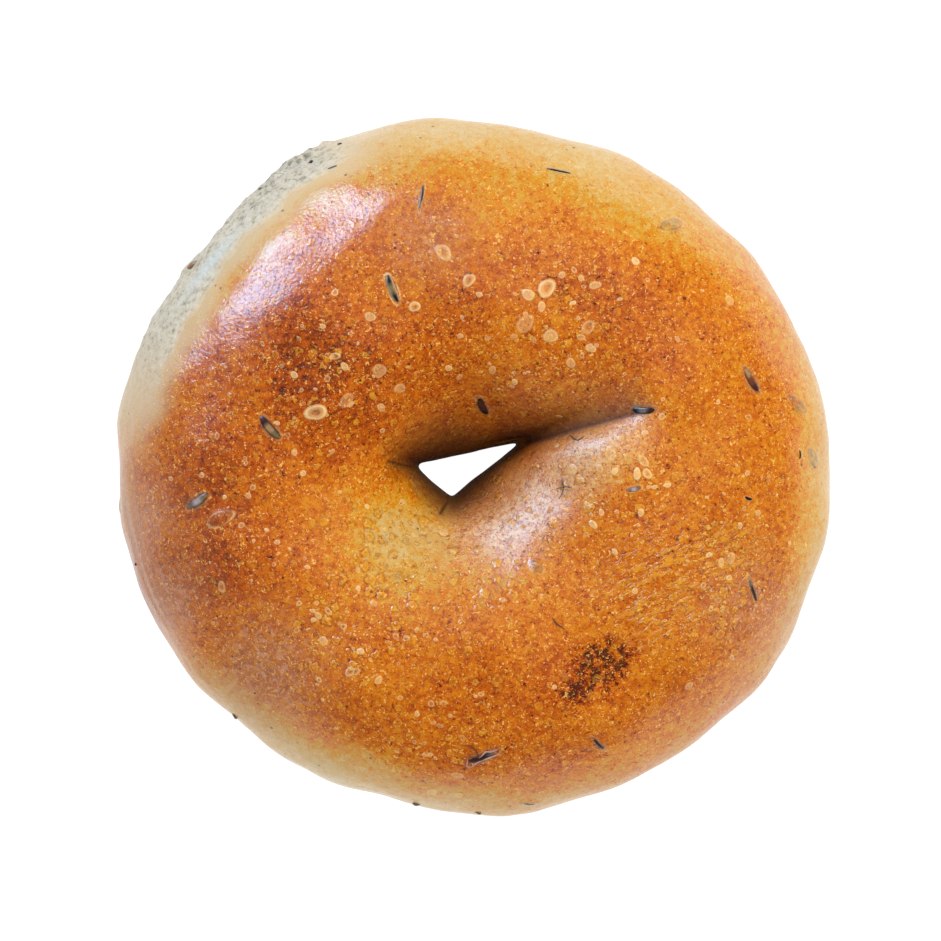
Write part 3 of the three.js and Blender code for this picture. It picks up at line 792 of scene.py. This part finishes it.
def make_scraps(material):
    """The crumbs and the threads, as one piece."""
    points, faces, tints = [], [], []
    count = 0

    def keep(some_points, some_faces, colour):
        nonlocal count
        points.append(some_points)
        faces.append(some_faces + count)
        tints.append(np.tile((*colour, 1.0), (len(some_points), 1)))
        count += len(some_points)

    for k, (direction, over, length, width, colour) in enumerate(CRUMBS):
        ring = np.array([math.radians(direction)])
        point, normal, ahead, left = frame_at(ring, np.array([over]), ring + CRUMB_TURN)
        ball, quads = lump(length, width, CRUMB_NOISE + k)
        placed = point + ball[:, :1] * ahead + ball[:, 1:2] * left + ball[:, 2:] * normal
        keep(placed, quads, colour)
    for width, colour, route in THREADS:
        route = np.array(route)
        reach = np.arange(len(route))
        steps = np.linspace(0, len(route) - 1, THREAD_POINTS * len(route))
        x, y = np.interp(steps, reach, route[:, 0]), np.interp(steps, reach, route[:, 1])
        ring, over = top_place(x, y)
        middle, normal, _, _ = frame_at(ring, over, np.zeros(len(x)))
        middle = middle + normal * (THREAD_HEIGHT + THREAD_WAVE * np.sin(steps * THREAD_WAVES))[:, None]
        some_points, quads = tube(middle, normal, width)
        keep(some_points, quads, colour)
    return mesh_object("scraps", np.concatenate(points), np.concatenate(faces), material,
                       {"tint": np.concatenate(tints)})


def new_material(name):
    material = bpy.data.materials.new(name)
    material.use_nodes = True
    material.node_tree.nodes.clear()
    return material, material.node_tree


def shade(tree, inputs):
    """The material's shader and its output."""
    shader = add(tree, "BsdfPrincipled", inputs)
    tree.links.new(shader.outputs[0], add(tree, "OutputMaterial").inputs[0])


def place_in_mm(tree):
    place = add(tree, "TexCoord").outputs["Object"]
    return add(tree, "VectorMath", {"Vector": place, "Scale": 1 / MM}, operation="SCALE").outputs[0]


def bump_of(tree, height):
    """Bumps from a height in millimetres."""
    return add(tree, "Bump", {"Strength": 1.0, "Distance": MM, "Height": height}).outputs[0]


def add(tree, kind, inputs=(), **settings):
    """A node whose inputs are linked or set."""
    node = tree.nodes.new("ShaderNode" + kind)
    for key, value in settings.items():
        setattr(node, key, value)
    for key, value in dict(inputs).items():
        if isinstance(value, bpy.types.NodeSocket):
            tree.links.new(value, node.inputs[key])
        else:
            node.inputs[key].default_value = value
    return node


def maths(tree, operation, *values):
    return add(tree, "Math", dict(enumerate(values)), operation=operation).outputs[0]


def mix(tree, share, first, second, blend="MIX"):
    return add(tree, "Mix", {0: share, 6: first, 7: second}, data_type="RGBA", blend_type=blend).outputs[2]


def ranged(tree, value, low, high, to_low=0.0, to_high=1.0):
    """to_low at low, to_high at high and an even curve between them."""
    inputs = {0: value, 1: low, 2: high, 3: to_low, 4: to_high}
    return add(tree, "MapRange", inputs, interpolation_type="SMOOTHSTEP").outputs[0]


def noise(tree, place, scale, detail=2.0, roughness=0.5):
    """Noise with scale waves to a millimetre."""
    inputs = {"Vector": place, "Scale": scale, "Detail": detail, "Roughness": roughness}
    return add(tree, "TexNoise", inputs).outputs[0]


def ramp(tree, value, stops):
    node = add(tree, "ValToRGB", {0: value})
    elements = node.color_ramp.elements
    while len(elements) > 1:
        elements.remove(elements[-1])
    for i, (position, colour) in enumerate(stops):
        element = elements[0] if i == 0 else elements.new(position)
        element.position = position
        element.color = (*colour, 1)
    return node.outputs[0]


def attribute(tree, name):
    return add(tree, "Attribute", attribute_name=name).outputs["Fac"]


def bubbles(tree, place, scale, radius, spread, chosen):
    """Round bubbles, one in some cells of space: their insides, rims, a line of painted shade round them and
    a dome.
    """
    cell = add(tree, "TexVoronoi", {"Vector": place, "Scale": scale})
    drawn = add(tree, "SeparateColor", {0: cell.outputs["Color"]})
    size = maths(tree, "MULTIPLY_ADD", drawn.outputs[0], spread, radius)
    share = maths(tree, "DIVIDE", cell.outputs["Distance"], size)
    picked = maths(tree, "LESS_THAN", drawn.outputs[1], chosen)
    inside = ranged(tree, share, 1.0, 0.8, 0.0, picked)
    rim = maths(tree, "MULTIPLY", inside, ranged(tree, share, 0.45, 0.8))
    shade_round = maths(tree, "SUBTRACT", ranged(tree, share, 1.5, 1.05, 0.0, picked), inside)
    dome = maths(tree, "MULTIPLY", maths(tree, "MAXIMUM", maths(tree, "SUBTRACT", 1.0, share), 0.0), picked)
    return inside, rim, shade_round, dome


# Bubbles and specks: cells to a millimetre, least radius and its spread by the cell, share of cells
LARGE_BUBBLES, SMALL_BUBBLES = (0.45, 0.22, 0.2, 0.5), (0.95, 0.16, 0.22, 0.55)
TINY_BUBBLES, SPECKS = (2.1, 0.18, 0.2, 0.32), (0.5, 0.06, 0.09, 0.4)
# How far and how finely bubbles are bent; the heading of fine folds, and how they are drawn out
BEND, BEND_SCALE, FOLD_HEADING, FOLD_STRETCH = 1.1, 1.3, 28, (0.45, 1.8, 0.6)
# How much each kind of unevenness changes the browning
WIDE_CHANGE, FLAKE_CHANGE, PIT_CHANGE, MOTTLE = 0.34, -0.12, 0.26, 0.13
# The roughness of the crust, and what the matt parts add
CRUST_ROUGHNESS, MATT_ROUGHNESS = 0.25, 0.4
CRUMB_COLOURS = ((0.33, (0.38, 0.32, 0.21)), (0.45, (0.74, 0.66, 0.49)), (0.62, (0.88, 0.81, 0.67)))
ROUGH_CRUMB_COLOURS = ((0.30, (0.20, 0.16, 0.10)), (0.40, (0.48, 0.41, 0.26)), (0.50, (0.74, 0.68, 0.56)))
CRUST_COLOURS = (
    (0.0, (0.70, 0.54, 0.29)),
    (0.2, (0.66, 0.44, 0.15)),
    (0.38, (0.67, 0.335, 0.020)),
    (0.55, (0.69, 0.195, 0.0)),
    (0.75, (0.50, 0.084, 0.0)),
    (0.9, (0.27, 0.040, 0.0)),
    (1.0, (0.10, 0.016, 0.004)),
)
SCORCH_BROWNING = 0.3
BUBBLE_COLOUR = (0.88, 0.40, 0.02, 1)
# Paler crust and painted sheen on the crest beside the long crease
FILM_AND_SHEEN_COLOUR = (0.84, 0.62, 0.37, 1)
BLISTER_COLOUR = (1.0, 0.69, 0.30, 1)
DOT_COLOUR = (1.0, 0.60, 0.18, 1)
FLAKE_COLOUR = (1.0, 0.60, 0.13, 1)
# The painted shade of the lines round bubbles, blisters and seeds
LINE_SHADE = (0.50, 0.34, 0.30, 1)
DOUGH_COLOUR = (0.70, 0.55, 0.33, 1)
# Mauve-browns of the dull zones, partly a painted reflection; the darker one also gives the rim's folds
# painted shade
DULL_REFLECTION_AND_SHADE_COLOUR = (0.40, 0.17, 0.09, 1)
DULL_REFLECTION_LIGHT = (0.74, 0.42, 0.27, 1)
# The painted shade down in the hole and in the creases
PAINTED_SHADE_COLOUR = (0.070, 0.021, 0.001, 1)
STAIN_COLOUR = (0.20, 0.15, 0.10, 1)
SPECK_COLOUR = (0.05, 0.02, 0.01, 1)
# The painted highlight on the torn crumb's ridge
RIDGE_HIGHLIGHT_COLOUR = (0.80, 0.85, 0.84, 1)


def crust_material():
    """Browned crust with its bubbles, flakes and zones, and the torn crumb."""
    material, tree = new_material("crust")
    place = place_in_mm(tree)
    read = {name: attribute(tree, name) for name in (
        "browning", "scorch", "torn", "rough", "ridge", "dough", "dull_and_reflection", "film_and_sheen", "painted_shade", "folds", "rim_folds",
        "bubbly", "blister", "shade_line", "stain")}

    def times(first, second):
        return maths(tree, "MULTIPLY", first, second)

    def plus(first, second, third):
        return maths(tree, "MULTIPLY_ADD", first, second, third)

    def larger(first, second):
        return maths(tree, "MAXIMUM", first, second)

    shift = add(tree, "TexNoise", {"Vector": place, "Scale": BEND_SCALE, "Detail": 1.0}).outputs["Color"]
    bent = add(tree, "VectorMath", {0: shift, 1: (BEND,) * 3, 2: place}, operation="MULTIPLY_ADD").outputs[0]
    large_inside, large_rim, large_shade_round, large_dome = bubbles(tree, bent, *LARGE_BUBBLES)
    small_inside, small_rim, small_shade_round, small_dome = bubbles(tree, bent, *SMALL_BUBBLES)
    tiny_inside, _, _, tiny_dome = bubbles(tree, bent, *TINY_BUBBLES)
    specks, _, _, _ = bubbles(tree, place, *SPECKS)

    # Browning: the zones of the mesh, wide and fine mottling, pale flakes and dark pits; the pits are partly
    # darker grain and partly painted shade of tiny hollows
    graininess = ranged(tree, read["browning"], 0.1, 0.5, 0.7, 1.0)
    wide = plus(noise(tree, place, 0.14, 4.0, 0.6), WIDE_CHANGE, -WIDE_CHANGE / 2)
    mottle = ranged(tree, noise(tree, bent, 0.9, 4.0, 0.65), 0.3, 0.7, MOTTLE, -MOTTLE)
    fine = noise(tree, place, 3.0, 2.0, 0.65)
    coarse = noise(tree, bent, 1.5, 2.0, 0.6)
    flakes = larger(ranged(tree, fine, 0.62, 0.67, 0.0, 0.75), ranged(tree, coarse, 0.645, 0.68))
    flakes = times(flakes, ranged(tree, noise(tree, place, 0.22, 1.0), 0.38, 0.6, 0.45, 1.0))
    pits = larger(ranged(tree, fine, 0.40, 0.33), ranged(tree, coarse, 0.37, 0.33))
    grain = plus(pits, PIT_CHANGE, times(flakes, FLAKE_CHANGE))
    uneven = maths(tree, "ADD", mottle, grain)
    varied = plus(uneven, graininess, maths(tree, "ADD", read["browning"], wide))
    varied = plus(read["scorch"], plus(uneven, 1.8, SCORCH_BROWNING), varied)
    colour = ramp(tree, varied, CRUST_COLOURS)

    turned = add(tree, "VectorRotate", {"Vector": bent, "Angle": math.radians(-FOLD_HEADING)},
                 rotation_type="Z_AXIS").outputs[0]
    drawn_out = add(tree, "VectorMath", {0: turned, 1: FOLD_STRETCH}, operation="MULTIPLY").outputs[0]
    creased = times(ranged(tree, noise(tree, drawn_out, 0.9, 1.0, 0.5), 0.48, 0.62), read["folds"])
    crumb_tone = noise(tree, place, 0.9, 5.0, 0.62)
    film_and_sheen = times(read["film_and_sheen"], ranged(tree, noise(tree, bent, 1.3, 3.0, 0.7), 0.42, 0.58, 0.3, 1.0))
    bubbly = read["bubbly"]

    # Layers of colour and their shares, from the lowest
    for share, layer in (
        (times(creased, 0.5), BUBBLE_COLOUR),
        # the dull zones: partly duller crust, partly a painted mauve reflection
        (times(read["dull_and_reflection"], plus(mottle, 1.6, 0.66)), DULL_REFLECTION_AND_SHADE_COLOUR),
        (times(read["dull_and_reflection"], ranged(tree, crumb_tone, 0.5, 0.6, 0.0, 0.5)), DULL_REFLECTION_LIGHT),
        # the crest's pale film: partly paler crust, partly painted sheen
        (times(film_and_sheen, plus(pits, -0.8, 1.0)), FILM_AND_SHEEN_COLOUR),
        (times(plus(large_rim, 0.5, times(large_inside, 0.18)), bubbly), BUBBLE_COLOUR),
        (times(plus(small_rim, 0.65, times(small_inside, 0.35)), bubbly), BUBBLE_COLOUR),
        (times(tiny_inside, 0.7), DOT_COLOUR),
        (times(times(flakes, graininess), 0.72), FLAKE_COLOUR),
    ):
        colour = mix(tree, share, colour, layer)
    # Painted shade: thin dark lines round the bubbles, the blisters and the seeds
    bubble_shade_lines = times(plus(large_shade_round, 0.5, times(small_shade_round, 0.6)), bubbly)
    colour = mix(tree, larger(bubble_shade_lines, read["shade_line"]), colour, LINE_SHADE, "MULTIPLY")
    for share, layer in (
        (read["blister"], BLISTER_COLOUR),
        (times(read["dough"], plus(mottle, 0.7, 0.72)), DOUGH_COLOUR),
        # painted shade in the grooves of the rim's folds
        (times(read["rim_folds"], 0.6), DULL_REFLECTION_AND_SHADE_COLOUR),
        # painted shade down in the hole and in the creases
        (times(read["painted_shade"], 0.92), PAINTED_SHADE_COLOUR),
        (read["stain"], STAIN_COLOUR),
        (times(specks, 0.75), SPECK_COLOUR),
    ):
        colour = mix(tree, share, colour, layer)

    # The torn side's crumb
    crumb = ramp(tree, crumb_tone, CRUMB_COLOURS)
    crumb = mix(tree, read["rough"], crumb, ramp(tree, crumb_tone, ROUGH_CRUMB_COLOURS))
    # a painted bluish-white highlight along the torn crumb's ridge
    crumb = mix(tree, read["ridge"], crumb, RIDGE_HIGHLIGHT_COLOUR)
    colour = mix(tree, read["torn"], colour, crumb)

    # The finest relief: each part and its height in millimetres
    height = 0.0
    for part, size in (
        (noise(tree, place, 1.9, 2.0, 0.4), 0.06), (flakes, 0.022), (pits, -0.022), (creased, 0.16),
        (large_dome, times(bubbly, 0.22)), (small_dome, times(bubbly, 0.14)), (tiny_dome, 0.05),
        (read["rim_folds"], -0.12), (plus(crumb_tone, 1.0, -0.5), read["torn"]),
    ):
        height = plus(part, size, height)

    matt = larger(larger(read["torn"], times(read["painted_shade"], 1.8)), times(read["film_and_sheen"], 0.6))
    shade(tree, {
        "Base Color": colour, "Roughness": plus(matt, MATT_ROUGHNESS, CRUST_ROUGHNESS),
        "Normal": bump_of(tree, height), "IOR": 1.5,
    })
    return material


SEED_ROUGHNESS, SEED_BUMP = 0.36, 0.03


def seed_material():
    """The seeds, threads and crumbs: their own tints, made uneven."""
    material, tree = new_material("seeds")
    place = place_in_mm(tree)
    tint = add(tree, "Attribute", attribute_name="tint").outputs["Color"]
    tone = maths(tree, "MULTIPLY_ADD", noise(tree, place, 3.0, 3.0, 0.6), 1.6, 0.2)
    colour = add(tree, "VectorMath", {"Vector": tint, "Scale": tone}, operation="SCALE").outputs[0]
    height = maths(tree, "MULTIPLY", noise(tree, place, 4.0, 2.0, 0.5), SEED_BUMP)
    shade(tree, {"Base Color": colour, "Roughness": SEED_ROUGHNESS, "Normal": bump_of(tree, height)})
    return material


def floor_material():
    """A plain pale floor that is as bright as the photo's ground."""
    material, tree = new_material("floor")
    shade(tree, {
        "Base Color": (FLOOR_TONE, FLOOR_TONE, FLOOR_TONE, 1), "Roughness": FLOOR_ROUGHNESS,
        "Emission Color": (1, 1, 1, 1), "Emission Strength": FLOOR_GLOW,
    })
    return material


# The camera looks straight down; the picture shows FIELD millimetres at the height of the outline
FIELD = 150.6
CAMERA_AT = (-0.56, -0.5)
CAMERA_HEIGHT = 1200
OUTLINE_HEIGHT = 16
SENSOR_WIDTH = 36
CLIP_START, CLIP_END = 0.01, 10


def make_camera():
    data = bpy.data.cameras.new("camera")
    camera = new_object("camera", data)
    camera.location = (CAMERA_AT[0] * MM, CAMERA_AT[1] * MM, CAMERA_HEIGHT * MM)
    data.sensor_width = SENSOR_WIDTH
    data.lens = SENSOR_WIDTH * (CAMERA_HEIGHT - OUTLINE_HEIGHT) / FIELD
    data.clip_start, data.clip_end = CLIP_START, CLIP_END
    bpy.context.scene.camera = camera


LIGHT_DISTANCE = 1.0
# The lights: azimuth and angle from straight up, size, power, colour, and whether they are a shine or a fill
LIGHTS = (
    ("window", 134, 65, (0.68, 0.46), 26, (0.31, 0.64, 1.0), "shine"),
    ("key", 50, 30, (0.9, 0.9), 7.55, (1.0, 0.99, 0.96), "fill"),
    ("low_left", 225, 62, (0.6, 0.6), 0.1, (0.75, 0.65, 1.0), "shine"),
    ("low_right", -25, 62, (0.6, 0.6), 0.25, (1.0, 0.75, 0.80), "shine"),
)
WORLD_COLOUR, WORLD_STRENGTH = (1.0, 0.98, 0.95, 1), 0.55
FLOOR_GLOW, FLOOR_TONE, FLOOR_ROUGHNESS = 1.0, 0.15, 0.9
# Half the floor's width in metres, and how far it lies under the bagel in millimetres
FLOOR_REACH, FLOOR_GAP = 3.0, 0.1


def make_light(name, azimuth, polar, size, power, colour, kind):
    """A window of light that faces the bagel and shows only in reflections or only in diffuse light."""
    data = bpy.data.lights.new(name, "AREA")
    data.shape = "RECTANGLE"
    data.size, data.size_y = size
    data.energy = power
    data.color = colour
    light = new_object(name, data)
    a, p = math.radians(azimuth), math.radians(polar)
    away = (math.sin(p) * math.cos(a), math.sin(p) * math.sin(a), math.cos(p))
    light.location = [LIGHT_DISTANCE * part for part in away]
    light.rotation_euler = (p, 0, a + math.pi / 2)
    light.visible_glossy = kind == "shine"
    light.visible_diffuse = kind == "fill"


def make_world():
    """Even light from all round, which shows in no reflection."""
    world = bpy.data.worlds.new("world")
    world.use_nodes = True
    background = world.node_tree.nodes["Background"]
    background.inputs[0].default_value = WORLD_COLOUR
    background.inputs[1].default_value = WORLD_STRENGTH
    bpy.context.scene.world = world
    world.cycles_visibility.glossy = False


def make_floor():
    mesh = bpy.data.meshes.new("floor")
    far, low = FLOOR_REACH, -FLOOR_GAP * MM
    corners = [(-far, -far, low), (far, -far, low), (far, far, low), (-far, far, low)]
    mesh.from_pydata(corners, [], [(0, 1, 2, 3)])
    mesh.materials.append(floor_material())
    floor = new_object("floor", mesh)


def make_stage():
    make_floor()
    make_world()
    for light in LIGHTS:
        make_light(*light)
    make_camera()
    bpy.context.scene.view_settings.view_transform = "Standard"


crust_look = crust_material()
seed_look = seed_material()
shown = [
    make_crust(crust_look),
    make_blisters(crust_look),
    make_seed_beds(crust_look),
    make_seeds(seed_look),
    make_scraps(seed_look),
]
for piece in shown:
    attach(piece, "root")
    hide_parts("bagel")
make_stage()
